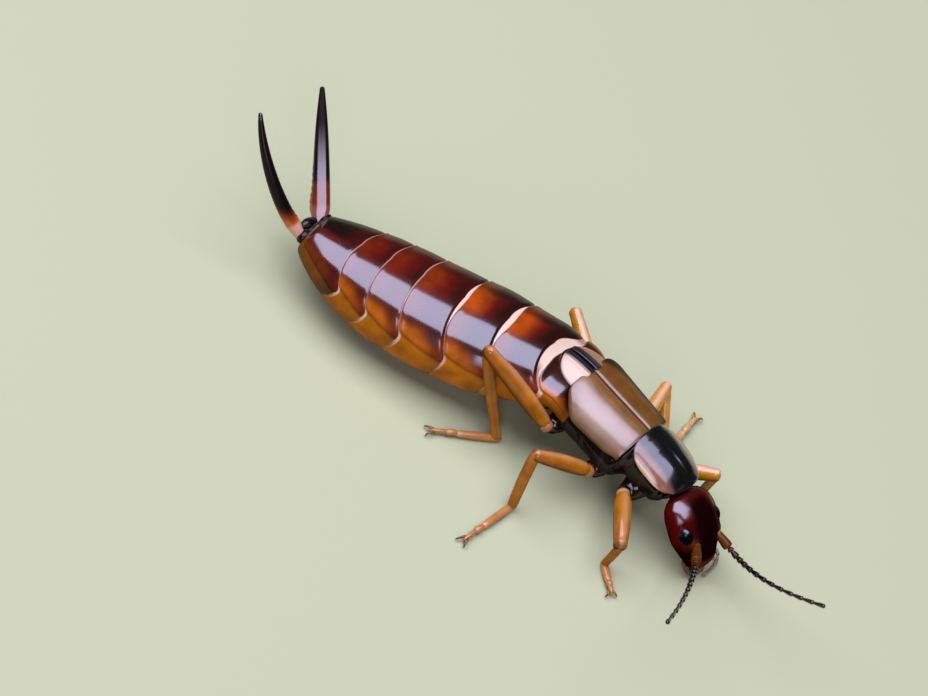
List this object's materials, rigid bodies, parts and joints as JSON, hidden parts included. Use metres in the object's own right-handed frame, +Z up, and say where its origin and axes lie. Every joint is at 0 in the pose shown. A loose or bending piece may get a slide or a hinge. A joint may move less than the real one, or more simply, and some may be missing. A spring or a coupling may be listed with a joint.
{
  "type": "earwig",
  "caption": "Life-size female earwig standing with its tail raised: short wing cases over a ringed abdomen, slim curved forceps, bead-jointed feelers and folded legs.",
  "frame": {"origin": "middle of the whole animal's box at floor level, on the plane of the foot soles", "axes": "+Z up; the head points to -Y and the forceps to +Y; the animal's left side is +X"},
  "size_m": [0.009, 0.02, 0.0043],
  "materials": {
    "abdomen": "glossy mahogany brown cuticle, amber toward the belly",
    "dark_cuticle": "glossy black-brown cuticle",
    "wing_case": "glossy translucent tan-brown cuticle",
    "wing_tip": "satin cream membrane",
    "head": "glossy wine-brown cuticle",
    "eye": "black facetted eye",
    "leg": "glossy translucent amber cuticle",
    "feeler": "satin brown cuticle",
    "forceps": "glossy cuticle, orange-brown root and black-brown tip"
  },
  "bodies": {
    "root": {"head": "head", "mouthparts": "feeler", "palp_left": "leg", "palp_right": "leg", "eye_left": "eye", "eye_right": "eye", "antenna_left": "feeler", "antenna_right": "feeler", "neck": "dark_cuticle", "prothorax": "dark_cuticle", "pronotum": "dark_cuticle", "thorax": "dark_cuticle", "wing_case_left": "wing_case", "wing_case_right": "wing_case", "wing_tip_left": "wing_tip", "wing_tip_right": "wing_tip", "abdomen_front": "abdomen", "abdomen_middle": "abdomen", "abdomen_rear": "abdomen", "pygidium": "dark_cuticle", "forceps_left": "forceps", "forceps_right": "forceps", "leg_front_left": "leg", "leg_front_right": "leg", "leg_middle_left": "leg", "leg_middle_right": "leg", "leg_hind_left": "leg", "leg_hind_right": "leg"}
  },
  "joints": []
}
